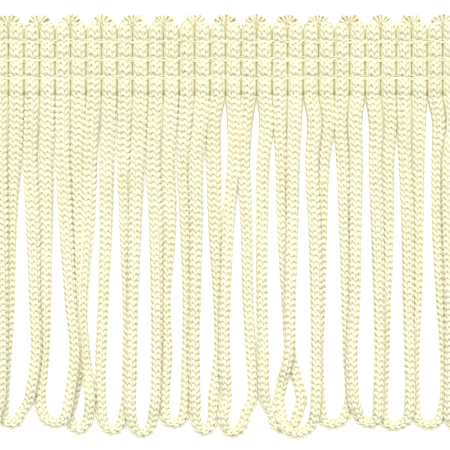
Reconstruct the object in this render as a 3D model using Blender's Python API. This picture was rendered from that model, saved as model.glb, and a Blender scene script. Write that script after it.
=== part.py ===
"""A cut length of loop fringe trim, lying flat, face up, on a table.

One knitted cord runs up and down through the heading, turns back in a small scallop at the top and hangs in a
long loop below. The heading lies at +Y, the loops hang towards -Y, and the underside rests on z = 0.

Nodes: heading (the bound columns with their scallops) and loop_fringe (the comb of hanging loops).
"""

import math

import bmesh
import bpy
import numpy as np
from mathutils import Vector

MM = 0.001

# The trim as a whole.
COLUMNS = 34
PITCH = 2.78 * MM
LENGTH = COLUMNS * PITCH
GAP = 0.3 * MM

# The heading: rows of pillow-shaped bumps, pinched between rows by the binding stitches.
ROWS = 4
ROW_HEIGHT = 3.22 * MM
CREST_Z = 1.9 * MM
PINCH_Z = 1.45 * MM
GROOVE_Z = 0.9 * MM
FILLED_GROOVE_Z = 1.15 * MM
SHOULDER = 0.22

# The scallops, one over each second groove, where the cord turns back into the heading.
SCALLOP_HALF_WIDTH = 2.0 * MM
SCALLOP_RISE = 2.0 * MM
SCALLOP_ROOT = 0.8 * MM
SCALLOP_Z = 1.25 * MM
SCALLOP_ROUNDING = 0.35 * MM
SCALLOP_STEPS = 6

# The hanging loops. The cord is broad and flat where it leaves the heading, and rounder towards its foot.
ROOT_DROP = 1.9 * MM
ROOT_Z = (0.2 * MM, 0.85 * MM)
CUT_END_DROP = 4.5 * MM
BROAD_HALF_WIDTH, BROAD_HALF_THICKNESS = 1.25 * MM, 0.6 * MM
ROUND_HALF_WIDTH, ROUND_HALF_THICKNESS = 0.95 * MM, 0.8 * MM
ROUND_FROM_DROP = 40 * MM
ROUTE_STEP = 0.5 * MM
ROUTE_STEPS_A_RING = 12
FOOT_ANGLES = (30, 60)
DRAPE_LENGTH = 6 * MM

# A cord's section has this many sides, and stands on one of them.
SIDES = 6
FLAT = math.cos(math.pi / SIDES)

# How far below the heading each drift in LOOPS is measured. At the last one, the hip, the foot's arc starts.
STATION_DROPS = [drop * MM for drop in (5, 12, 23, 37, 46, 54, 57)]

# One row for each loop, from -X to +X, in millimetres:
#   left, right  how far that leg has drifted from its own column at each station
#   foot         the loop's lowest point: its place across, from the middle of its columns, and its drop
#   over         which layer the left and the right leg lie in, 0 on the table, 1 over 0, 2 over 1
LOOPS = [
    {
        "left": (-0.1, -0.2, -0.5, -0.9, -1.3, -1.1, -1.3),
        "right": (0.0, 0.0, 0.2, 0.4, 0.4, 0.2, -0.6),
        "foot": (-0.6, 59.4),
        "over": (0, 1),
    },
    {
        "left": (-0.1, -0.4, -1.1, -1.3, -1.8, -2.3, -2.4),
        "right": (-0.1, -0.3, 0.2, 0.6, 0.9, -0.3, -2.0),
        "foot": (-2.3, 58.8),
        "over": (0, 1),
    },
    {
        "left": (-0.1, -0.2, -0.2, -0.3, -0.6, -1.3, -0.9),
        "right": (0.0, 0.1, 0.6, 1.5, 2.3, 1.3, 0.7),
        "foot": (0.3, 58.6),
        "over": (0, 2),
    },
    {
        "left": (-0.1, -0.3, -0.2, -0.1, 0.2, -0.9, -1.7),
        "right": (-0.3, -0.7, -1.0, -2.0, -1.6, -0.6, -0.9),
        "foot": (-1.2, 59.9),
        "over": (0, 1),
    },
    {
        "left": (-0.2, -0.4, -0.6, -1.1, -1.5, -1.6, -1.4),
        "right": (0.0, -0.1, 0.2, 0.6, 0.5, 0.3, -0.2),
        "foot": (-0.9, 60.0),
        "over": (0, 0),
    },
    {
        "left": (-0.2, -0.5, -0.9, -1.3, -1.5, -1.7, -1.6),
        "right": (-0.2, -0.4, 0.0, 0.2, 0.2, 0.0, -0.4),
        "foot": (-1.1, 60.5),
        "over": (1, 1),
    },
    {
        "left": (-0.3, -0.7, -0.3, -1.1, -0.8, -1.3, -1.2),
        "right": (-0.2, -0.5, 0.0, 0.2, 0.0, -0.2, -0.5),
        "foot": (-0.8, 58.8),
        "over": (0, 0),
    },
    {
        "left": (-0.4, -1.1, -1.1, -1.3, -1.5, -1.3, -1.3),
        "right": (-0.8, -0.7, -0.5, 0.2, 0.2, -0.8, -0.8),
        "foot": (-1.0, 60.1),
        "over": (1, 0),
    },
    {
        "left": (0.2, 0.1, -0.9, -1.5, -1.6, -1.3, -1.9),
        "right": (-0.6, -0.9, -0.4, -0.1, 0.4, 0.7, -0.6),
        "foot": (-1.6, 60.4),
        "over": (1, 0),
    },
    {
        "left": (0.4, -0.2, -0.4, -0.4, -0.2, 0.0, 1.4),
        "right": (0.1, 0.4, 0.6, 1.3, 1.9, 3.8, 3.2),
        "foot": (2.1, 59.7),
        "over": (1, 0),
    },
    {
        "left": (-0.2, -0.4, -0.6, -1.0, -1.2, -2.9, -2.6),
        "right": (0.7, 0.2, 0.6, 0.9, 0.9, 0.9, 0.7),
        "foot": (-1.1, 60.5),
        "over": (1, 1),
    },
    {
        "left": (0.3, -0.5, -0.9, -1.1, -1.5, -1.2, -0.9),
        "right": (-0.1, 0.2, 0.6, 0.9, 1.1, 1.5, 0.7),
        "foot": (-0.3, 58.9),
        "over": (0, 0),
    },
    {
        "left": (-0.5, -0.2, -0.4, -0.6, -1.1, -0.8, 0.1),
        "right": (0.6, 0.4, 0.7, 1.0, 1.1, 0.9, 0.9),
        "foot": (0.9, 58.7),
        "over": (1, 1),
    },
    {
        "left": (0.3, -0.1, -0.1, -0.5, -0.8, -1.0, -1.0),
        "right": (0.1, 0.2, 0.6, 0.7, 0.9, 1.0, 0.9),
        "foot": (-0.5, 59.2),
        "over": (0, 1),
    },
    {
        "left": (-0.1, -0.2, -0.3, -0.5, -1.0, -0.9, -0.6),
        "right": (0.9, 0.6, 0.6, 1.2, 1.8, 1.8, 1.2),
        "foot": (0.4, 59.0),
        "over": (0, 0),
    },
    {
        "left": (0.5, -0.4, -0.5, -0.2, -0.1, -0.2, -0.3),
        "right": (0.1, 0.2, 0.5, 0.8, 1.1, 1.2, 0.8),
        "foot": (0.4, 59.8),
        "over": (1, 0),
    },
]

# Where the parts of the trim lie along Y, with the middle of the whole at y = 0.
HEADING_HEIGHT = ROWS * ROW_HEIGHT
LONGEST_DROP = max(loop["foot"][1] for loop in LOOPS) * MM
OVERALL = SCALLOP_RISE + HEADING_HEIGHT + LONGEST_DROP + ROUND_HALF_WIDTH
HEADING_TOP_Y = OVERALL / 2 - SCALLOP_RISE
HEADING_FOOT_Y = HEADING_TOP_Y - HEADING_HEIGHT


def column_x(column):
    """The middle of a column, counted from 0 at the -X end."""
    return (column - (COLUMNS - 1) / 2) * PITCH


def blend(low, high, share):
    """A value that eases from low at share 0 to high at share 1."""
    share = np.clip(share, 0, 1)
    return low + (high - low) * share * share * (3 - 2 * share)


def drop_of(point):
    """How far below the heading a point lies."""
    return HEADING_FOOT_Y - point.y


def half_width(drop):
    return blend(BROAD_HALF_WIDTH, ROUND_HALF_WIDTH, drop / ROUND_FROM_DROP)


def half_thickness(drop):
    return blend(BROAD_HALF_THICKNESS, ROUND_HALF_THICKNESS, drop / ROUND_FROM_DROP)


def spline(points, step):
    """Points about step apart on a Catmull-Rom curve through the given ones, ends included."""
    ends = [2 * points[0] - points[1]] + points + [2 * points[-1] - points[-2]]
    curve = [points[0]]
    for before, start, end, after in zip(ends, ends[1:], ends[2:], ends[3:]):
        pieces = max(1, round((end - start).length / step))
        for piece in range(1, pieces + 1):
            t = piece / pieces
            bend = 2 * before - 5 * start + 4 * end - after
            twist = 3 * start - before - 3 * end + after
            curve.append(0.5 * (2 * start + (end - before) * t + bend * t**2 + twist * t**3))
    return curve


def leg_route(column, drifts):
    """Where a leg runs, seen from above: a point at every ROUTE_STEP of drop, down to the hip."""
    drops = [0, *STATION_DROPS]
    across = [column_x(column), *(column_x(column) + drift * MM for drift in drifts)]
    curve = spline([Vector((x, drop)) for x, drop in zip(across, drops)], ROUTE_STEP)
    even = np.arange(0, STATION_DROPS[-1] + ROUTE_STEP / 2, ROUTE_STEP)
    xs = np.interp(even, [point.y for point in curve], [point.x for point in curve])
    return [Vector((x, HEADING_FOOT_Y - drop)) for x, drop in zip(xs, even)]


def loop_route(index, row):
    """A loop seen from above, down its left leg, round its foot and up its right leg, with each point's layer."""
    left = leg_route(2 * index + 1, row["left"])
    right = leg_route(2 * index + 2, row["right"])
    middle = (column_x(2 * index + 1) + column_x(2 * index + 2)) / 2
    foot = Vector((middle + row["foot"][0] * MM, HEADING_FOOT_Y - row["foot"][1] * MM))
    arcs = []
    for hip in (left[-1], right[-1]):
        arc = []
        for angle in map(math.radians, FOOT_ANGLES):
            across = (hip.x - foot.x) * math.cos(angle)
            down = (foot.y - hip.y) * math.sin(angle)
            arc.append(Vector((foot.x + across, hip.y + down)))
        arcs.append(arc)
    sides = (left + arcs[0] + [foot], arcs[1][::-1] + right[::-1])
    layers = [row["over"][0]] * len(sides[0]) + [row["over"][1]] * len(sides[1])
    return sides[0] + sides[1], layers


def resting_heights(routes):
    """How high each point of each loop's underside lies, where it leans on or crosses a lower loop."""
    owners = np.concatenate([np.full(len(points), index) for index, (points, _) in enumerate(routes)])
    layers = np.concatenate([layers for _, layers in routes])
    places = np.array([point for points, _ in routes for point in points])
    drops = HEADING_FOOT_Y - places[:, 1]
    widths, thicknesses = half_width(drops), half_thickness(drops)
    lifts = np.zeros(len(places))
    window = np.hanning(round(DRAPE_LENGTH / ROUTE_STEP) + 3)
    window /= window.sum()
    for layer in range(1, max(layers) + 1):
        upper, lower = np.flatnonzero(layers == layer), np.flatnonzero(layers < layer)
        apart = np.linalg.norm(places[upper, None] - places[None, lower], axis=2)
        apart /= widths[upper, None] + widths[None, lower]
        apart[owners[upper, None] == owners[None, lower]] = 1
        rises = (thicknesses[upper, None] + thicknesses[None, lower]) * np.sqrt(np.clip(1 - apart**2, 0, 1))
        lifts[upper] = np.where(rises > 0, rises + lifts[None, lower], 0).max(axis=1)
        for owner in np.unique(owners[upper]):
            mine = owners == owner
            padded = np.pad(lifts[mine], len(window) // 2, mode="edge")
            lifts[mine] = np.convolve(padded, window, mode="valid")
    return [lifts[owners == index] for index in range(len(routes))]


def loop_path(points, lifts):
    """The centreline that a loop's tube follows: few points on the legs, and all of those round the foot."""
    hip = round(STATION_DROPS[-1] / ROUTE_STEP)
    foot = len(points) // 2
    half = [1, *range(hip % ROUTE_STEPS_A_RING, hip, ROUTE_STEPS_A_RING), *range(hip, foot)]
    path = []
    for i in half + [foot] + [len(points) - 1 - i for i in reversed(half)]:
        z = lifts[i] + half_thickness(drop_of(points[i])) * FLAT
        path.append(Vector((*points[i], z)))
    return path


def tube(name, path):
    """A closed tube of the cord's size along a path, with upright sections that are flat above and below."""
    bm = bmesh.new()
    rings = []
    for i, point in enumerate(path):
        along = path[min(i + 1, len(path) - 1)] - path[max(i - 1, 0)]
        across = Vector((-along.y, along.x, 0)).normalized() * half_width(drop_of(point))
        up = Vector((0, 0, half_thickness(drop_of(point))))
        ring = []
        for side in range(SIDES):
            angle = math.tau * side / SIDES
            ring.append(bm.verts.new(point + across * math.cos(angle) + up * math.sin(angle)))
        rings.append(ring)
    for before, after in zip(rings, rings[1:]):
        for side in range(SIDES):
            following = (side + 1) % SIDES
            bm.faces.new((before[side], before[following], after[following], after[side]))
    bm.faces.new(rings[0])
    bm.faces.new(rings[-1][::-1])
    return mesh_object(name, bm)


def box(name, low, high):
    bm = bmesh.new()
    bmesh.ops.create_cube(bm, size=1)
    for vert in bm.verts:
        vert.co = Vector(low[axis] if vert.co[axis] < 0 else high[axis] for axis in range(3))
    return mesh_object(name, bm)


def mesh_object(name, bm):
    bmesh.ops.recalc_face_normals(bm, faces=bm.faces)
    mesh = bpy.data.meshes.new(name)
    bm.to_mesh(mesh)
    bm.free()
    made = bpy.data.objects.new(name, mesh)
    bpy.context.scene.collection.objects.link(made)
    return made


def join_helpers(target, helpers):
    """Unites the helpers with the target, and keeps them out of the part."""
    group = bpy.data.collections.new(target.name + "_helpers")
    for helper in helpers:
        bpy.context.scene.collection.objects.unlink(helper)
        group.objects.link(helper)
        helper.hide_render = True
        helper.display_type = "WIRE"
    bpy.context.scene.collection.children.link(group)
    union = target.modifiers.new("union", "BOOLEAN")
    union.operation = "UNION"
    union.operand_type = "COLLECTION"
    union.collection = group
    union.use_self = True


def heading_band():
    """The bound columns: a flat-backed band whose face is a grid of pillow-shaped bumps."""
    shares = (0, SHOULDER, 1 - SHOULDER)
    xs = [-LENGTH / 2 + (column + share) * PITCH for column in range(COLUMNS) for share in shares]
    ys = [HEADING_FOOT_Y + (row + share) * ROW_HEIGHT for row in range(ROWS) for share in shares]
    xs.append(LENGTH / 2)
    ys.append(HEADING_TOP_Y)
    bm = bmesh.new()
    face = []
    for i, x in enumerate(xs):
        groove = i % len(shares) == 0
        line = []
        for j, y in enumerate(ys):
            pinch = j % len(shares) == 0
            on_crest = PINCH_Z if pinch else CREST_Z
            in_groove = FILLED_GROOVE_Z if pinch else GROOVE_Z
            line.append(bm.verts.new((x, y, in_groove if groove else on_crest)))
        face.append(line)
    back = [(bm.verts.new((x, ys[0], 0)), bm.verts.new((x, ys[-1], 0))) for x in xs]
    for i in range(len(xs) - 1):
        for j in range(len(ys) - 1):
            bm.faces.new((face[i][j], face[i + 1][j], face[i + 1][j + 1], face[i][j + 1]))
        bm.faces.new((back[i][0], back[i][1], back[i + 1][1], back[i + 1][0]))
        bm.faces.new((back[i][0], back[i + 1][0], face[i + 1][0], face[i][0]))
        bm.faces.new((back[i][1], face[i][-1], face[i + 1][-1], back[i + 1][1]))
    bm.faces.new((*face[0], back[0][1], back[0][0]))
    bm.faces.new((*face[-1][::-1], back[-1][0], back[-1][1]))
    return mesh_object("heading", bm)


def scallop(number):
    """One turn of the cord over the top of two bound columns: a flat-backed half oval with a rounded rim."""
    middle = (column_x(2 * number) + column_x(2 * number + 1)) / 2
    bm = bmesh.new()
    rings = []
    for inset, z in ((0, 0), (0, SCALLOP_Z - SCALLOP_ROUNDING), (SCALLOP_ROUNDING, SCALLOP_Z)):
        half_width, rise = SCALLOP_HALF_WIDTH - inset, SCALLOP_RISE - inset
        outline = [(middle - half_width, HEADING_TOP_Y - SCALLOP_ROOT)]
        for step in range(SCALLOP_STEPS + 1):
            angle = math.pi * (1 - step / SCALLOP_STEPS)
            outline.append((middle + half_width * math.cos(angle), HEADING_TOP_Y + rise * math.sin(angle)))
        outline.append((middle + half_width, HEADING_TOP_Y - SCALLOP_ROOT))
        rings.append([bm.verts.new((x, y, z)) for x, y in outline])
    for lower, upper in zip(rings, rings[1:]):
        for i in range(len(lower)):
            following = (i + 1) % len(lower)
            bm.faces.new((lower[i], lower[following], upper[following], upper[i]))
    bm.faces.new(rings[0])
    bm.faces.new(rings[-1][::-1])
    return mesh_object(f"scallop_{number}", bm)


def loop_tubes():
    """The hanging loops, and the cut end of the cord at each end of the trim."""
    routes = [loop_route(index, row) for index, row in enumerate(LOOPS)]
    tubes = []
    for index, lifts in enumerate(resting_heights(routes)):
        path = loop_path(routes[index][0], lifts)
        tubes.append(tube(f"loop_{index}", path))
    for column in (0, COLUMNS - 1):
        path = []
        for drop in (ROUTE_STEP, CUT_END_DROP):
            path.append(Vector((column_x(column), HEADING_FOOT_Y - drop, half_thickness(drop) * FLAT)))
        tubes.append(tube(f"cut_end_{column}", path))
    return tubes


def cord_material():
    """Cream rayon, with the soft sheen of a knitted cord."""
    material = bpy.data.materials.new("chainette_cord")
    material.use_nodes = True
    shader = material.node_tree.nodes["Principled BSDF"]
    shader.inputs["Base Color"].default_value = (0.89, 0.86, 0.66, 1)
    shader.inputs["Roughness"].default_value = 0.6
    shader.inputs["Metallic"].default_value = 0
    return material


def main():
    for old in list(bpy.data.objects):
        bpy.data.objects.remove(old)
    heading = heading_band()
    join_helpers(heading, [scallop(number) for number in range(COLUMNS // 2)])
    root_top, root_foot = HEADING_FOOT_Y - GAP, HEADING_FOOT_Y - ROOT_DROP
    fringe = box("loop_fringe", (-LENGTH / 2, root_foot, ROOT_Z[0]), (LENGTH / 2, root_top, ROOT_Z[1]))
    join_helpers(fringe, loop_tubes())
    material = cord_material()
    for node in (heading, fringe):
        node.data.materials.append(material)


main()
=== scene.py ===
"""Loop fringe trim: a cut length of knitted cord, bound into a scalloped heading with hanging loops."""

import math

import bpy
import numpy as np
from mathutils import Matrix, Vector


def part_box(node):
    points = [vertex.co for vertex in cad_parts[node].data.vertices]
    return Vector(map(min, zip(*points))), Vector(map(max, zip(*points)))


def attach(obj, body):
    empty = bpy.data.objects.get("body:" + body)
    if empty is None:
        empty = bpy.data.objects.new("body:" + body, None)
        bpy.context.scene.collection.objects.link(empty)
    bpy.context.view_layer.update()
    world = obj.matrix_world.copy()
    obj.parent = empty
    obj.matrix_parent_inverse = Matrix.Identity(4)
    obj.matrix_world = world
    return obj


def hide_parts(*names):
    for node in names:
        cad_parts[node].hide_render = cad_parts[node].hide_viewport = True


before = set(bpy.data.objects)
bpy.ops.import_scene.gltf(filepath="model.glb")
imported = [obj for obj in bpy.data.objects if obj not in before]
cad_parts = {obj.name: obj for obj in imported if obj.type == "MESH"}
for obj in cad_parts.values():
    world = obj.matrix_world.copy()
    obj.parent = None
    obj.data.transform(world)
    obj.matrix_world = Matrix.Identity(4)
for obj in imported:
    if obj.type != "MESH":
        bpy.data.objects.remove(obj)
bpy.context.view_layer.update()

# The knitted cord. It is a small tube of four wales of soft shiny yarn, and it makes the whole trim. Each
# stitch is a loop drawn through the one below: its two legs show outside as a V, and its head lies inside.
# The yarn goes round and round, so each wale lies a quarter of a course further on than the one before.

MM = 0.001  # lengths in this script are in millimetres, and meshes in metres
WALES = 4
COURSE = 1.094
TWIST_A_MM = 0.02
KNIT_DEPTH = 0.20
YARN_SIDES = 5
YARN_WIDTH = 1.2
YARN_DEPTH = 0.95

# A stitch's points: how far each is across the cord in wales, along it in courses and out from the middle
# of the knit in knit depths, and the yarn's radius there.
STITCH = [
    {"across": -0.50, "along": -0.78, "out": -0.9, "radius": 0.15},
    {"across": -0.08, "along": -0.50, "out": 0.2, "radius": 0.19},
    {"across": -0.16, "along": -0.20, "out": 1.0, "radius": 0.26},
    {"across": -0.33, "along": 0.14, "out": 1.0, "radius": 0.27},
    {"across": -0.42, "along": 0.46, "out": 0.2, "radius": 0.20},
    {"across": 0.00, "along": 0.76, "out": -0.9, "radius": 0.16},
    {"across": 0.42, "along": 0.46, "out": 0.2, "radius": 0.20},
    {"across": 0.33, "along": 0.14, "out": 1.0, "radius": 0.27},
    {"across": 0.16, "along": -0.20, "out": 1.0, "radius": 0.26},
    {"across": 0.08, "along": -0.50, "out": 0.2, "radius": 0.19},
]
OUTERMOST = max(point["radius"] for point in STITCH) * YARN_DEPTH
UNEVEN = {"across": 0.02, "along": 0.04, "out": 0.12, "radius": 0.06}
UNEVEN_LIMIT = 2

# Cross-sections of the cord are rows of these: where its middle lies, half its width and thickness, and
# half the width of its soft inside.
MIDDLE = slice(0, 3)
HALF_SIZES = slice(3, 5)
HALF_WIDTH = slice(3, 4)
HALF_THICKNESS = slice(4, 5)
HALF_INSIDE = slice(5, 6)


def unit(vectors):
    """Vectors of the same direction, one long."""
    return vectors / np.maximum(np.linalg.norm(vectors, axis=-1, keepdims=True), 1e-9)


def skin(rings, closed=False):
    """A surface over rings of vertices, joined end to end or with a cap at each end.

    It comes with a place for each corner of its faces: how far round its ring it is, from 0 to 1, the
    number of its ring, and the number of the ring that its face starts from."""
    count, sides = rings.shape[:2]
    spans = count if closed else count - 1
    here, start = np.meshgrid(np.arange(sides), np.arange(spans))
    corners = ((here, start), (here + 1, start), (here + 1, start + 1), (here, start + 1))
    quads = np.stack([turn % sides + ring % count * sides for turn, ring in corners], axis=2).reshape(-1, 4)
    places = np.stack([np.stack([turn / sides, ring, start], axis=2) for turn, ring in corners], axis=2)
    faces, places = quads.tolist(), places.reshape(-1, 3)
    if not closed:
        faces += [list(range(sides))[::-1], list(range((count - 1) * sides, count * sides))]
        ends = [(0.5, 0.5, 0), (0.5, spans - 0.5, spans - 1)]
        places = np.vstack([places, np.repeat(ends, sides, axis=0)])
    return rings.reshape(-1, 3), faces, places, count


def strand(points, outward, radii, closed=False):
    """A yarn along points. It is a little wider than it is deep."""
    if closed:
        tangents = unit(np.roll(points, -1, axis=0) - np.roll(points, 1, axis=0))
    else:
        tangents = unit(np.gradient(points, axis=0))
    across = unit(np.cross(tangents, outward))
    outward = np.cross(across, tangents)
    turns = 2 * np.pi * (np.arange(YARN_SIDES) + 0.5) / YARN_SIDES
    ring = (YARN_WIDTH * np.cos(turns)[None, :, None] * across[:, None]
            + YARN_DEPTH * np.sin(turns)[None, :, None] * outward[:, None])
    return skin(points[:, None] + radii[:, None, None] * ring, closed)


def lengths_along(sections):
    """How far along the cord each cross-section lies."""
    steps = np.linalg.norm(np.diff(sections[:, MIDDLE], axis=0), axis=1)
    return np.concatenate([[0], np.cumsum(steps)])


def at_lengths(lengths, sections, wanted):
    """Rows of values that go with cross-sections, found at other lengths along the cord."""
    return np.column_stack([np.interp(wanted, lengths, column) for column in sections.T])


def knit(sections, start, end, seed):
    """The yarn of the knitted cord between two lengths along its sections."""
    draws = np.random.default_rng(seed)
    stitches = np.arange(math.ceil(start * WALES / COURSE), math.ceil(end * WALES / COURSE))
    shape = (len(stitches), len(STITCH))
    part = {}
    for key in STITCH[0]:
        even = np.array([point[key] for point in STITCH])
        spread = UNEVEN[key] * (even if key == "radius" else 1)
        part[key] = even + spread * draws.normal(size=shape).clip(-UNEVEN_LIMIT, UNEVEN_LIMIT)
    turn = (stitches[:, None] + part["across"]) / WALES
    lengths = lengths_along(sections)
    places = ((turn + part["along"]) * COURSE).ravel().clip(0, lengths[-1])
    tangents = unit(np.gradient(sections[:, MIDDLE], axis=0))
    sideways = unit(np.cross(tangents, (0, 0, 1)))
    upward = np.cross(sideways, tangents)
    middle = at_lengths(lengths, sections[:, MIDDLE], places)
    side, up = at_lengths(lengths, sideways, places), at_lengths(lengths, upward, places)
    reach = at_lengths(lengths, sections[:, HALF_SIZES], places) - KNIT_DEPTH - OUTERMOST
    # The cord is flatter than a circle, so its wales draw together towards its narrow sides.
    angle = 2 * np.pi * turn.ravel() + TWIST_A_MM * places
    flat = (reach[:, 0] ** 2 - reach[:, 1] ** 2) / (reach[:, 0] ** 2 + reach[:, 1] ** 2)
    angle += flat / 4 * np.sin(2 * angle)
    cosine, sine = np.cos(angle)[:, None], np.sin(angle)[:, None]
    outward = unit(side * cosine / reach[:, :1] + up * sine / reach[:, 1:])
    points = (middle + side * cosine * reach[:, :1] + up * sine * reach[:, 1:]
              + outward * KNIT_DEPTH * part["out"].ravel()[:, None])
    return strand(points, outward, part["radius"].ravel())


FILLING_DEPTH = 0.39
FILLING_STEP = 1.2
FILLING_SIDES = 8
BOXY = 0.1
SAG = 0.08
# INSIDE marks the soft inside, whose deeper colour is painted shade.
INSIDE = 2  # added to how far round a soft inside's corner is, which tells its material from the yarn's


def filling(sections, start, end):
    """The soft inside of the cord, which closes the small holes between its stitches. Its colour is painted
    shade: deeper than the yarn's, for the shadow in those holes.

    Where it is pressed against its neighbours, it is wider and boxier. There it also fills the narrow slits
    and grooves between cords with that painted shade: partly real touching cord, partly a fill where there
    is only shadow."""
    lengths = lengths_along(sections)
    wanted = np.linspace(start, end, round((end - start) / FILLING_STEP) + 1)
    sideways = unit(np.cross(unit(np.gradient(sections[:, MIDDLE], axis=0)), (0, 0, 1)))
    side, rows = at_lengths(lengths, sideways, wanted), at_lengths(lengths, sections, wanted)
    width, thickness = rows[:, HALF_INSIDE], rows[:, HALF_THICKNESS] - FILLING_DEPTH
    pressed = np.clip((width - rows[:, HALF_WIDTH] + FILLING_DEPTH) / FILLING_DEPTH, 0, 1)
    turns = 2 * np.pi * np.arange(FILLING_SIDES) / FILLING_SIDES
    cosine, sine = np.cos(turns).round(9), np.sin(turns).round(9)
    power = 1 - BOXY * pressed
    across = np.sign(cosine) * np.abs(cosine) ** power * width
    up = np.sign(sine) * np.abs(sine) ** power * thickness - SAG * pressed * cosine**2
    rings = rows[:, None, MIDDLE] + across[:, :, None] * side[:, None] + up[:, :, None] * (0, 0, 1)
    vertices, faces, places, count = skin(rings)
    return vertices, faces, places + (INSIDE, 0, 0), count


class Finish:
    """A value in a material. Arithmetic on it adds Math nodes, and add() adds any other node."""

    def __init__(self, tree, socket=None):
        self.tree = tree
        self.socket = socket

    def add(self, kind, settings=(), sockets=(), output=0):
        """A new node's output. Its settings are set first, then the values or links of its sockets."""
        node = self.tree.nodes.new(kind)
        for name, value in dict(settings).items():
            setattr(node, name, value)
        for name, value in dict(sockets).items():
            if isinstance(value, Finish):
                self.tree.links.new(value.socket, node.inputs[name])
            else:
                node.inputs[name].default_value = value
        return Finish(self.tree, node.outputs[output])

    def math(self, operation, *values):
        return self.add("ShaderNodeMath", {"operation": operation}, enumerate(values))

    def __add__(self, other):
        return self.math("ADD", self, other)

    def __sub__(self, other):
        return self.math("SUBTRACT", self, other)

    def __rsub__(self, other):
        return self.math("SUBTRACT", other, self)

    def __mul__(self, other):
        return self.math("MULTIPLY", self, other)

    def __gt__(self, other):
        return self.math("GREATER_THAN", self, other)

    __radd__ = __add__
    __rmul__ = __mul__

    def mixed(self, low, high):
        """The colour low where this value is 0, and high where it is 1."""
        return self.add("ShaderNodeMix", {"data_type": "RGBA"}, {0: self, 6: low, 7: high}, output=2)


PATCH_SCALE = 140
PATCH_SHARE = 0.55
FILAMENT_SCALE = (12, 0.4, 1)
FILAMENT_SHARE = 0.45
FILAMENT_BUMP = 0.08
SHADES = {"From Min": 0.38, "From Max": 0.62}  # the mixed noise that gives the deep colour, and the pale


def yarn_material(name, pale, deep, inside):
    """Soft shiny yarn of many fine filaments, uneven in colour along its length. Its soft inside takes the
    deeper colour inside, which is painted shade.
    """
    material = bpy.data.materials.new(name)
    material.use_nodes = True
    shader = material.node_tree.nodes["Principled BSDF"]
    shader.inputs["Roughness"].default_value = 0.5
    shader.inputs["Specular IOR Level"].default_value = 0.35
    shader.inputs["Sheen Weight"].default_value = 0.15
    shader.inputs["Sheen Roughness"].default_value = 0.4
    base = Finish(material.node_tree)
    place = base.add("ShaderNodeTexCoord", output="Object")
    patches = base.add("ShaderNodeTexNoise", sockets={"Vector": place, "Scale": PATCH_SCALE, "Detail": 4})
    along = base.add("ShaderNodeUVMap", {"uv_map": "yarn"})
    # The mask of the soft inside, where the deeper inside colour is painted shade for holes and grooves.
    shaded_inside_mask = base.add("ShaderNodeSeparateXYZ", sockets={"Vector": along}) > INSIDE - 0.5
    lines = base.add("ShaderNodeMapping", sockets={"Vector": along, "Scale": FILAMENT_SCALE})
    filaments = base.add("ShaderNodeTexNoise", sockets={"Vector": lines, "Scale": 1, "Detail": 2})
    mixed = patches * PATCH_SHARE + filaments * FILAMENT_SHARE
    shade = base.add("ShaderNodeMapRange", {"clamp": True}, {"Value": mixed, **SHADES})
    colour = shaded_inside_mask.mixed(shade.mixed((*deep, 1), (*pale, 1)), (*inside, 1))
    ridges = {"Height": filaments, "Strength": 1, "Distance": FILAMENT_BUMP * MM}
    bump = base.add("ShaderNodeBump", sockets=ridges)
    material.node_tree.links.new(colour.socket, shader.inputs["Base Color"])
    material.node_tree.links.new(bump.socket, shader.inputs["Normal"])
    return material


RINGS_A_CELL = 10
CELL_RIM = 0.05


def piece(name, parts, material, node):
    """One object of the trim, made of one or several strands. It stands for a CAD node.

    One of its maps follows the yarn. In the other each short length of yarn has a cell of its own."""
    vertices, faces, places = [], [], []
    shift = rings = 0
    for points, corners, where, count in parts:
        vertices.append(points)
        faces += [[corner + shift for corner in face] for face in corners]
        places.append(where + (0, rings, rings))
        shift += len(points)
        rings += math.ceil((count + 1) / RINGS_A_CELL) * RINGS_A_CELL
    mesh = bpy.data.meshes.new(name)
    mesh.from_pydata((np.vstack(vertices) * MM).tolist(), [], faces)
    mesh.shade_smooth()
    mesh.materials.append(material)
    around, ring, first_ring = np.vstack(places).T
    mesh.uv_layers.new(name="yarn").uv.foreach_set("vector", np.column_stack([around, ring]).ravel())
    cell = first_ring // RINGS_A_CELL
    cells_wide = math.ceil(math.sqrt(rings / RINGS_A_CELL))
    in_cell = np.column_stack([around - INSIDE * (around > INSIDE - 0.5), ring / RINGS_A_CELL - cell])
    in_cell = in_cell * (1 - 2 * CELL_RIM) + CELL_RIM
    in_map = (np.column_stack([cell % cells_wide, cell // cells_wide]) + in_cell) / cells_wide
    mesh.uv_layers.new(name="OFBake").uv.foreach_set("vector", in_map.ravel())
    made = bpy.data.objects.new(name, mesh)
    bpy.context.scene.collection.objects.link(made)
    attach(made, "root")
    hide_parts(node)


CORD_PALE = (0.91, 0.893, 0.70)
CORD_DEEP = (0.86, 0.838, 0.60)
# Its inside colour, deeper than the pale and deep, is painted shade for the holes between stitches and the
# slits between legs.
cord_yarn = yarn_material("cord_yarn", CORD_PALE, CORD_DEEP, inside=(0.87, 0.83, 0.58))

# The heading's columns. The cord goes up a column, turns back in a scallop and comes down the next column.
# Fine stitches bind the columns together side by side and pinch them in between rows, so that the cord
# puffs out into four rows of bumps.

heading_low, heading_high = (np.array(corner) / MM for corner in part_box("heading"))
COLUMNS = 34
SCALLOPS = COLUMNS // 2
PITCH = (heading_high[0] - heading_low[0]) / COLUMNS
ROWS = 4
ROW_HEIGHT = 3.22
FOOT_Y = heading_low[1]
TOP_Y = FOOT_Y + ROWS * ROW_HEIGHT
RUN_STEP = 0.25

# Half the cord's width and thickness, and how high its middle lies, where it is pinched, where it puffs
# out, and where it leaves the heading.
PINCHED = (1.48, 0.66)
PINCH_MIDDLE_Z = 0.80
PUFFED = (1.22, 0.84)
PUFF_MIDDLE_Z = 1.14
PUFF_POWER = 0.9
BROAD = (1.36, 0.77)
FOOT_MIDDLE_Z = 1.0

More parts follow.
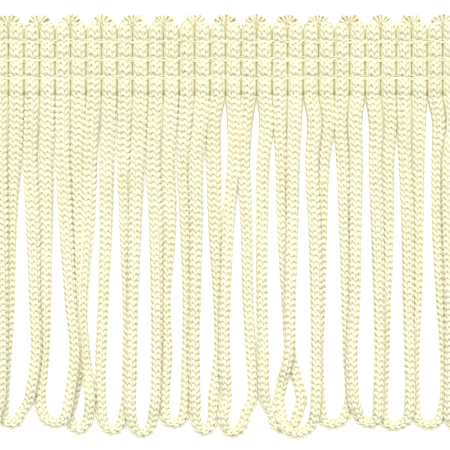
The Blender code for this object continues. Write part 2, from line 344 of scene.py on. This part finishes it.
# Pressed together, neighbouring columns close the space between them, all but the last bit at the top.
# Their soft insides fill the grooves between them with painted shade: partly real touching cord, partly a
# dark fill where the groove is only in shadow.
PRESSED = PITCH / 2 + 0.03
CLOSED_TOP = 0.8
CLOSING = 0.6


def column_x(column):
    """The middle of a column of the heading."""
    return (column - (COLUMNS - 1) / 2) * PITCH


def ease(low, high, share):
    """A value that eases from low at share 0 to high at share 1."""
    share = np.clip(share, 0, 1)
    return low + (high - low) * share * share * (3 - 2 * share)


def column_sections(column):
    """The cross-sections of a column of the heading from its foot up."""
    ups = np.arange(0, ROWS * ROW_HEIGHT + RUN_STEP / 2, RUN_STEP)
    puff = np.abs(np.sin(np.pi * ups / ROW_HEIGHT)) ** PUFF_POWER
    foot, pinch, swell = (FOOT_MIDDLE_Z, *BROAD), (PINCH_MIDDLE_Z, *PINCHED), (PUFF_MIDDLE_Z, *PUFFED)
    sizes = []
    for at_foot, pinched, puffed in zip(foot, pinch, swell):
        bound = np.where(ups < ROW_HEIGHT / 2, at_foot, pinched)
        sizes.append(bound + (puffed - bound) * puff)
    inside = ease(CLOSED_TOP, PRESSED, (ROWS * ROW_HEIGHT - ups) / CLOSING)
    return np.column_stack([np.full(len(ups), column_x(column)), FOOT_Y + ups, *sizes, inside])


columns = [column_sections(column) for column in range(COLUMNS)]
in_heading = lengths_along(columns[0])[-1]
# The heading's yarn has a deeper inside colour than the loops', painted shade for the dark grooves between
# its columns.
bound_yarn_shaded_inside = yarn_material("bound_yarn_shaded_inside", CORD_PALE, CORD_DEEP, inside=(0.82, 0.78, 0.51))

# The loops. Below the heading the cord hangs free from one scallop's second column, turns at the loop's
# foot and goes up into the next scallop's first column. Near the heading it is broad and flat, and it
# grows round further down. The loops are limp, so they lean on their neighbours and cross them.

ROUND = (1.13, 0.86)
ROUNDING_DROPS = (14, 40)
SETTLING_DROP = 7
# Down to PRESSED_DROP the soft inside stays wide and fills the slits between neighbouring legs with painted
# shade.
PRESSED_DROP = 22
RESTING = 0.06
CUT_END_DROP = 4.5
DRAPE_LENGTH = 6
FOOT_ANGLES = (30, 60)

# How far each loop's left and right legs have moved sideways at each of STATION_DROPS below the heading,
# where its foot is, from the middle of its columns and down, the layer that each of its sides lies on, and
# half its width where it is flattest.
STATION_DROPS = (5, 12, 23, 37, 46, 54, 57)
LOOPS = [
    {"left": (-0.1, -0.2, -0.5, -0.9, -1.3, -1.1, -1.3), "right": (0.0, 0.0, 0.2, 0.4, 0.4, 0.2, -0.6),
     "foot": (-0.6, 59.4), "over": (0, 1), "flat": 1.50},
    {"left": (-0.1, -0.4, -1.1, -1.3, -1.8, -2.3, -2.4), "right": (-0.1, -0.3, 0.2, 0.6, 0.9, -0.3, -2.0),
     "foot": (-2.3, 58.8), "over": (0, 1), "flat": 1.50},
    {"left": (-0.1, -0.2, -0.2, -0.3, -0.6, -1.3, -0.9), "right": (0.0, 0.1, 0.6, 1.5, 2.3, 1.3, 0.7),
     "foot": (0.3, 58.6), "over": (0, 2), "flat": 1.50},
    {"left": (-0.1, -0.3, -0.2, -0.1, 0.2, -0.9, -1.7), "right": (-0.3, -0.7, -1.0, -2.0, -1.6, -0.6, -0.9),
     "foot": (-1.2, 59.9), "over": (0, 1), "flat": 1.50},
    {"left": (-0.2, -0.4, -0.6, -1.1, -1.5, -1.6, -1.4), "right": (0.0, -0.1, 0.2, 0.6, 0.5, 0.3, -0.2),
     "foot": (-0.9, 60.0), "over": (0, 0), "flat": 1.50},
    {"left": (-0.2, -0.5, -0.9, -1.3, -1.5, -1.7, -1.6), "right": (-0.2, -0.4, 0.0, 0.2, 0.2, 0.0, -0.4),
     "foot": (-1.1, 60.5), "over": (1, 1), "flat": 1.50},
    {"left": (-0.3, -0.7, -0.3, -1.1, -0.8, -1.3, -1.2), "right": (-0.2, -0.5, 0.0, 0.2, 0.0, -0.2, -0.5),
     "foot": (-0.8, 58.8), "over": (0, 0), "flat": 1.50},
    {"left": (-0.4, -1.1, -1.1, -1.3, -1.5, -1.3, -1.3), "right": (-0.8, -0.7, -0.5, 0.2, 0.2, -0.8, -0.8),
     "foot": (-1.0, 60.1), "over": (1, 0), "flat": 1.50},
    {"left": (0.2, 0.1, -0.9, -1.5, -1.6, -1.3, -1.9), "right": (-0.6, -0.9, -0.4, -0.1, 0.4, 0.7, -0.6),
     "foot": (-1.6, 60.4), "over": (1, 0), "flat": 1.35},
    {"left": (0.4, -0.2, -0.4, -0.4, -0.2, 0.0, 1.4), "right": (0.1, 0.4, 0.6, 1.3, 1.9, 3.8, 3.2),
     "foot": (2.1, 59.7), "over": (1, 0), "flat": 1.35},
    {"left": (-0.2, -0.4, -0.6, -1.0, -1.2, -2.9, -2.6), "right": (0.7, 0.2, 0.6, 0.9, 0.9, 0.9, 0.7),
     "foot": (-1.1, 60.5), "over": (1, 1), "flat": 1.35},
    {"left": (0.3, -0.5, -0.9, -1.1, -1.5, -1.2, -0.9), "right": (-0.1, 0.2, 0.6, 0.9, 1.1, 1.5, 0.7),
     "foot": (-0.3, 58.9), "over": (0, 0), "flat": 1.35},
    {"left": (-0.5, -0.2, -0.4, -0.6, -1.1, -0.8, 0.1), "right": (0.6, 0.4, 0.7, 1.0, 1.1, 0.9, 0.9),
     "foot": (0.9, 58.7), "over": (1, 1), "flat": 1.35},
    {"left": (0.3, -0.1, -0.1, -0.5, -0.8, -1.0, -1.0), "right": (0.1, 0.2, 0.6, 0.7, 0.9, 1.0, 0.9),
     "foot": (-0.5, 59.2), "over": (0, 1), "flat": 1.35},
    {"left": (-0.1, -0.2, -0.3, -0.5, -1.0, -0.9, -0.6), "right": (0.9, 0.6, 0.6, 1.2, 1.8, 1.8, 1.2),
     "foot": (0.4, 59.0), "over": (0, 0), "flat": 1.35},
    {"left": (0.5, -0.4, -0.5, -0.2, -0.1, -0.2, -0.3), "right": (0.1, 0.2, 0.5, 0.8, 1.1, 1.2, 0.8),
     "foot": (0.4, 59.8), "over": (1, 0), "flat": 1.35},
]


def spline(points, step):
    """Points about step apart on a Catmull-Rom curve through the given ones, ends included."""
    points = np.array(points, float)
    ends = np.vstack([2 * points[0] - points[1], points, 2 * points[-1] - points[-2]])
    curve = [points[:1]]
    for before, start, end, after in zip(ends, ends[1:], ends[2:], ends[3:]):
        pieces = max(1, round(np.linalg.norm(end - start) / step))
        t = np.arange(1, pieces + 1)[:, None] / pieces
        bend = 2 * before - 5 * start + 4 * end - after
        twist = 3 * start - before - 3 * end + after
        curve.append(0.5 * (2 * start + (end - before) * t + bend * t**2 + twist * t**3))
    return np.vstack(curve)


def leg_run(column, drifts):
    """A leg seen from above, from the heading down to the hip of its loop."""
    across = [column_x(column), *(column_x(column) + drift for drift in drifts)]
    curve = spline(list(zip(across, (0, *STATION_DROPS))), RUN_STEP)
    drops = np.arange(0, STATION_DROPS[-1] + RUN_STEP / 2, RUN_STEP)
    return np.column_stack([np.interp(drops, curve[:, 1], curve[:, 0]), FOOT_Y - drops])


def loop_run(number, row):
    """A loop seen from above, down its left leg and up its right leg, with each point's layer."""
    left = leg_run(2 * number + 1, row["left"])
    right = leg_run(2 * number + 2, row["right"])
    middle = (column_x(2 * number + 1) + column_x(2 * number + 2)) / 2
    foot = np.array([middle + row["foot"][0], FOOT_Y - row["foot"][1]])
    angles = np.radians(FOOT_ANGLES)
    bends = []
    for hip in (left[-1], right[-1]):
        across, down = (hip[0] - foot[0]) * np.cos(angles), (foot[1] - hip[1]) * np.sin(angles)
        bends.append(np.column_stack([foot[0] + across, hip[1] + down]))
    bottom = spline([left[-2], left[-1], *bends[0], foot, *bends[1][::-1], right[-1], right[-2]], RUN_STEP)
    half = np.argmin(np.linalg.norm(bottom - foot, axis=1))
    layers = np.full(len(left) + len(bottom) + len(right) - 4, row["over"][1])
    layers[: len(left) + half - 1] = row["over"][0]
    return np.vstack([left[:-2], bottom, right[-3::-1]]), layers


def free_size(drops, flat=BROAD[0]):
    """The cord's half width and half thickness at the given drops below the heading."""
    share = (drops - ROUNDING_DROPS[0]) / (ROUNDING_DROPS[1] - ROUNDING_DROPS[0])
    return ease(ease(BROAD[0], flat, drops / PITCH), ROUND[0], share), ease(BROAD[1], ROUND[1], share)


def resting_heights(runs):
    """How high each loop's underside lies at each point, where it rests on a loop of a lower layer."""
    owners = np.concatenate([np.full(len(points), number) for number, (points, _) in enumerate(runs)])
    layers = np.concatenate([layers for _, layers in runs])
    places = np.vstack([points for points, _ in runs])
    widths, thicknesses = free_size(FOOT_Y - places[:, 1])
    lifts = np.zeros(len(places))
    window = np.hanning(round(DRAPE_LENGTH / RUN_STEP) + 3)
    window /= window.sum()
    for layer in range(1, max(layers) + 1):
        upper, lower = np.flatnonzero(layers == layer), np.flatnonzero(layers < layer)
        apart = np.linalg.norm(places[upper, None] - places[None, lower], axis=2)
        apart /= widths[upper, None] + widths[None, lower]
        apart[owners[upper, None] == owners[None, lower]] = 1
        rises = (thicknesses[upper, None] + thicknesses[None, lower]) * np.sqrt(np.clip(1 - apart**2, 0, 1))
        lifts[upper] = np.where(rises > 0, rises + lifts[None, lower], 0).max(axis=1)
        for owner in np.unique(owners[upper]):
            mine = owners == owner
            padded = np.pad(lifts[mine], len(window) // 2, mode="edge")
            lifts[mine] = np.convolve(padded, window, mode="valid")
    return [lifts[owners == number] for number in range(len(runs))]


def hanging_sections(points, lifts, flat=BROAD[0]):
    """The cross-sections of a run of cord below the heading."""
    drops = FOOT_Y - points[:, 1]
    widths, thicknesses = free_size(drops, flat)
    middles = lifts + ease(FOOT_MIDDLE_Z, thicknesses + RESTING, drops / SETTLING_DROP)
    inside = ease(PRESSED, widths - FILLING_DEPTH, drops / PRESSED_DROP)
    return np.column_stack([points, middles, widths, thicknesses, inside])


runs = [loop_run(number, row) for number, row in enumerate(LOOPS)]
bound_cord = [[] for _ in range(SCALLOPS)]  # the cord of the two columns under each scallop
for number, (row, (points, _), lifts) in enumerate(zip(LOOPS, runs, resting_heights(runs))):
    going_down, going_up = columns[2 * number + 1][:0:-1], columns[2 * number + 2][1:]
    run = np.vstack([going_down, hanging_sections(points, lifts, row["flat"]), going_up])
    whole = lengths_along(run)[-1]
    end = whole - in_heading
    hanging = [knit(run, in_heading, end, seed=number), filling(run, in_heading, end)]
    piece(f"loop_{number:02}", hanging, cord_yarn, "loop_fringe")
    bound_cord[number] += [knit(run, 0, in_heading, seed=100 + number), filling(run, 0, in_heading)]
    bound_cord[number + 1] += [knit(run, end, whole, seed=200 + number), filling(run, end, whole)]

# At each end of the trim the cord is cut off a little below the heading.
cut_drops = np.arange(CUT_END_DROP, RUN_STEP / 2, -RUN_STEP)
for column in (0, COLUMNS - 1):
    hanging_end = np.column_stack([np.full(len(cut_drops), column_x(column)), FOOT_Y - cut_drops])
    run = np.vstack([hanging_sections(hanging_end, 0), columns[column]])
    whole = lengths_along(run)[-1]
    bound_cord[column // 2] += [knit(run, 0, whole, seed=300 + column), filling(run, 0, whole)]

# The scallops. At the heading's upper edge the cord turns back sharply from one column to the next. There
# its yarn opens out into a fan, over the edge and back underneath, with fine loose filaments on it.

FAN_STRANDS = 17
FAN_ANGLES = (-12, 192)
FAN_UNEVEN_ANGLE = 5
FAN_UNEVEN_REACH = (0.84, 1.0)
FAN_UNEVEN_TOP = (0, 0.3)
FAN_LEAN = 6
FAN_UNEVEN_LEAN = (0.2, 1.6)
FAN_REACH = 2.3
FAN_BOXY = 2.6
FAN_FULLNESS = 0.7
FAN_ROOT = 0.3
FAN_TOP = 1.3
FAN_BOTTOM = 0.12
FAN_YARN = 0.19
FAN_THINNING = (0.75, 1.1)
FAN_POINTS = 12
# The ground under the strands reaches a share of the way to the scallop's edge at each height.
GROUND_POINTS = 16
GROUND = [
    {"reach": 0.05, "height": 0.25},
    {"reach": 0.5, "height": 0.3},
    {"reach": 0.7, "height": 0.5},
    {"reach": 0.66, "height": 0.65},
    {"reach": 0.4, "height": 0.8},
    {"reach": 0.05, "height": 0.85},
]
HAIRS = 36
HAIR = 0.024
HAIR_SIDES = 3
HAIR_TAPER = (1, 0.8, 0.4)
HAIR_RISE = 0.1
HAIR_BEND = 0.2
HAIR_SPREAD = 0.25
HAIR_LENGTH = (0.35, 1.2)
HAIR_ANGLES = (25, 155)
HAIR_HEIGHTS = (0.4, 1.1)
HAIR_ROOT = 0.9
fan_draws = np.random.default_rng(7)
# The scallops' yarn is painted darker than the cord's, as painted shade where they lie behind the first row
# of bumps, and its inside deeper still.
fan_yarn_painted_shade = yarn_material("fan_yarn_painted_shade", (0.87, 0.845, 0.64), (0.81, 0.775, 0.52), inside=(0.78, 0.73, 0.47))


def fan_edge(angle):
    """How far a scallop reaches from its middle in a direction."""
    across, up = abs(math.cos(angle)), abs(math.sin(angle))
    return FAN_REACH * (across**FAN_BOXY + up**FAN_BOXY) ** (-1 / FAN_BOXY)


def fan_strand(middle, angle, lean, reach, top):
    """One strand of a scallop, which goes out over its edge and back underneath."""
    turns_round = 2 * np.pi * np.arange(FAN_POINTS) / FAN_POINTS
    out, lift = np.cos(turns_round), np.sin(turns_round)
    lift = np.sign(lift) * np.abs(lift) ** FAN_FULLNESS
    direction = angle + lean * lift
    inner, outer = FAN_ROOT, reach - FAN_YARN
    radius = (inner + outer) / 2 + (outer - inner) / 2 * out
    low, high = FAN_BOTTOM + FAN_YARN, top - FAN_YARN
    heights = (low + high) / 2 + (high - low) / 2 * lift
    xs, ys = middle[0] + radius * np.cos(direction), middle[1] + radius * np.sin(direction)
    points = np.column_stack([xs, ys, heights])
    radii = FAN_YARN * np.interp(out, (-1, 1), FAN_THINNING)
    return strand(points, unit(points - points.mean(axis=0)), radii, closed=True)


def fan_ground(middle):
    """The soft inside of a scallop, a low dome that shows only between the strands, in a deeper colour that
    is painted shade.
    """
    around = np.radians(np.linspace(0, 360, GROUND_POINTS, endpoint=False))
    edge = np.array([fan_edge(angle) for angle in around])
    rings = [np.column_stack([middle[0] + edge * row["reach"] * np.cos(around),
                              middle[1] + edge * row["reach"] * np.sin(around),
                              np.full(GROUND_POINTS, row["height"])]) for row in GROUND]
    vertices, faces, places, count = skin(np.array(rings))
    return vertices, faces, places + (INSIDE, 0, 0), count


def hair(start, direction, length):
    """One loose filament, standing off the edge of a scallop."""
    bend = fan_draws.uniform(-HAIR_BEND, HAIR_BEND)
    shares = np.linspace(0, 1, len(HAIR_TAPER))
    xs = start[0] + length * (np.cos(direction) * shares + bend * shares**2)
    ys = start[1] + length * np.sin(direction) * shares
    points = np.column_stack([xs, ys, start[2] + HAIR_RISE * shares])
    turns_round = 2 * np.pi * np.arange(HAIR_SIDES) / HAIR_SIDES
    ring = HAIR * np.column_stack([np.cos(turns_round), np.zeros(HAIR_SIDES), np.sin(turns_round)])
    return skin(points[:, None] + ring[None] * np.array(HAIR_TAPER)[:, None, None])


for number in range(SCALLOPS):
    middle = ((column_x(2 * number) + column_x(2 * number + 1)) / 2, TOP_Y - FAN_ROOT)
    fan = [fan_ground(middle)]
    for step, angle in enumerate(np.radians(np.linspace(*FAN_ANGLES, FAN_STRANDS))):
        angle += math.radians(fan_draws.uniform(-FAN_UNEVEN_ANGLE, FAN_UNEVEN_ANGLE))
        lean = math.radians(FAN_LEAN) * (-1) ** step * fan_draws.uniform(*FAN_UNEVEN_LEAN)
        reach = fan_edge(angle) * fan_draws.uniform(*FAN_UNEVEN_REACH)
        fan.append(fan_strand(middle, angle, lean, reach, FAN_TOP - fan_draws.uniform(*FAN_UNEVEN_TOP)))
    for _ in range(HAIRS):
        angle = math.radians(fan_draws.uniform(*HAIR_ANGLES))
        root = fan_edge(angle) * HAIR_ROOT
        start = (middle[0] + root * math.cos(angle), middle[1] + root * math.sin(angle),
                 fan_draws.uniform(*HAIR_HEIGHTS))
        direction = math.radians(90) + fan_draws.normal() * HAIR_SPREAD
        fan.append(hair(start, direction, fan_draws.uniform(*HAIR_LENGTH)))
    piece(f"scallop_{number:02}", fan, fan_yarn_painted_shade, "heading")
    piece(f"heading_turn_{number:02}", bound_cord[number], bound_yarn_shaded_inside, "heading")

# The binding. Fine threads of the same fibre cross the columns between the rows of bumps and draw them in.
# Two zigzag over the columns and cross in each groove, a thicker one lies straight between them, and one
# runs behind.

ZIGZAG_SWAY = 0.38
ZIGZAG = 0.115
LAID = 0.18
STRAIGHT_SWAY = 0.05
THREAD_POINTS = 6
THREAD_TOP_Z = PINCH_MIDDLE_Z + PINCHED[1] - 0.13
LAID_TOP_Z = THREAD_TOP_Z - 0.2
THREAD_GROOVE_Z = 1.05
BACK_TOP_Z = 0.14
BACK_GROOVE_Z = 0.4
THREAD_CREST = 0.8
THREAD_UNEVEN = 0.07
thread_draws = np.random.default_rng(11)
# The threads' yarn is painted a little darker than the cord's, as painted shade in the pinch lines between
# the rows.
binding_yarn_painted_shade = yarn_material("binding_yarn_painted_shade", (0.88, 0.86, 0.68), (0.84, 0.81, 0.60), inside=(0.8, 0.7, 0.4))


def thread(y, top, groove, sway, radius):
    """A binding thread along the heading, over each column and into each groove, swaying unevenly."""
    xs = np.linspace(heading_low[0] + ZIGZAG, heading_high[0] - ZIGZAG, COLUMNS * THREAD_POINTS + 1)
    across = (xs - heading_low[0]) / PITCH
    knots = np.arange(2 * COLUMNS + 1) / 2
    sways = sway * np.cos(np.pi * knots) + thread_draws.normal(size=len(knots)) * THREAD_UNEVEN
    ys = y + np.interp(across, knots, sways)
    heights = groove + (top - groove) * np.abs(np.sin(np.pi * across)) ** THREAD_CREST
    points = np.column_stack([xs, ys, heights])
    return strand(points, np.broadcast_to((0.0, 0.0, 1.0), points.shape), np.full(len(points), radius))


for row in range(1, ROWS):
    y = FOOT_Y + row * ROW_HEIGHT
    sways = (ZIGZAG_SWAY, -ZIGZAG_SWAY)
    threads = [thread(y, THREAD_TOP_Z, THREAD_GROOVE_Z, sway, ZIGZAG) for sway in sways]
    threads.append(thread(y, LAID_TOP_Z, THREAD_GROOVE_Z, STRAIGHT_SWAY, LAID))
    threads.append(thread(y, BACK_TOP_Z, BACK_GROOVE_Z, STRAIGHT_SWAY, ZIGZAG))
    piece(f"binding_{row}", threads, binding_yarn_painted_shade, "heading")

# The studio. The trim lies on bright white paper under an even white sky and one large soft lamp, and is
# seen from straight above with a long lens.

PAPER = 1600
PAPER_Z = -0.05
paper_mesh = bpy.data.meshes.new("floor")
half = PAPER / 2 * MM
corners = [(-half, -half, 0), (half, -half, 0), (half, half, 0), (-half, half, 0)]
paper_mesh.from_pydata(corners, [], [(0, 1, 2, 3)])
floor = bpy.data.objects.new("floor", paper_mesh)
floor.location.z = PAPER_Z * MM
bpy.context.scene.collection.objects.link(floor)
white_paper = bpy.data.materials.new("white_paper")
white_paper.use_nodes = True
paper_shader = white_paper.node_tree.nodes["Principled BSDF"]
paper_shader.inputs["Base Color"].default_value = (0.93, 0.93, 0.925, 1)
paper_shader.inputs["Roughness"].default_value = 0.9
paper_shader.inputs["Emission Color"].default_value = (1, 1, 1, 1)
paper_shader.inputs["Emission Strength"].default_value = 0.35
paper_mesh.materials.append(white_paper)

world = bpy.data.worlds.new("studio")
bpy.context.scene.world = world
world.use_nodes = True
background = world.node_tree.nodes["Background"]
background.inputs["Color"].default_value = (1, 1, 1, 1)
sky = Finish(world.node_tree)
looking = sky.add("ShaderNodeTexCoord", output="Generated")
upwards = sky.add("ShaderNodeSeparateXYZ", sockets={"Vector": looking}, output=2)
DIM_TO_BRIGHT = {"From Min": 0, "From Max": 0.9, "To Min": 0.3, "To Max": 0.92}
strength = sky.add("ShaderNodeMapRange", {"clamp": True}, {"Value": upwards, **DIM_TO_BRIGHT})
world.node_tree.links.new(strength.socket, background.inputs["Strength"])

lamp = bpy.data.lights.new("soft_key", "SUN")
lamp.energy = 1.95
lamp.angle = math.radians(35)
soft_key = bpy.data.objects.new("soft_key", lamp)
soft_key.rotation_euler = (math.radians(-40), 0, 0)
bpy.context.scene.collection.objects.link(soft_key)

VIEW_WIDTH = 80.7
VIEW_MIDDLE = (-0.1, 0.07, 1.0)
LENS = 150
SENSOR = 36
camera_data = bpy.data.cameras.new("camera")
camera_data.lens = LENS
camera_data.sensor_width = SENSOR
camera = bpy.data.objects.new("camera", camera_data)
height = VIEW_MIDDLE[2] + VIEW_WIDTH * LENS / SENSOR
camera.location = (VIEW_MIDDLE[0] * MM, VIEW_MIDDLE[1] * MM, height * MM)
bpy.context.scene.collection.objects.link(camera)
bpy.context.scene.camera = camera
bpy.context.scene.view_settings.view_transform = "Standard"
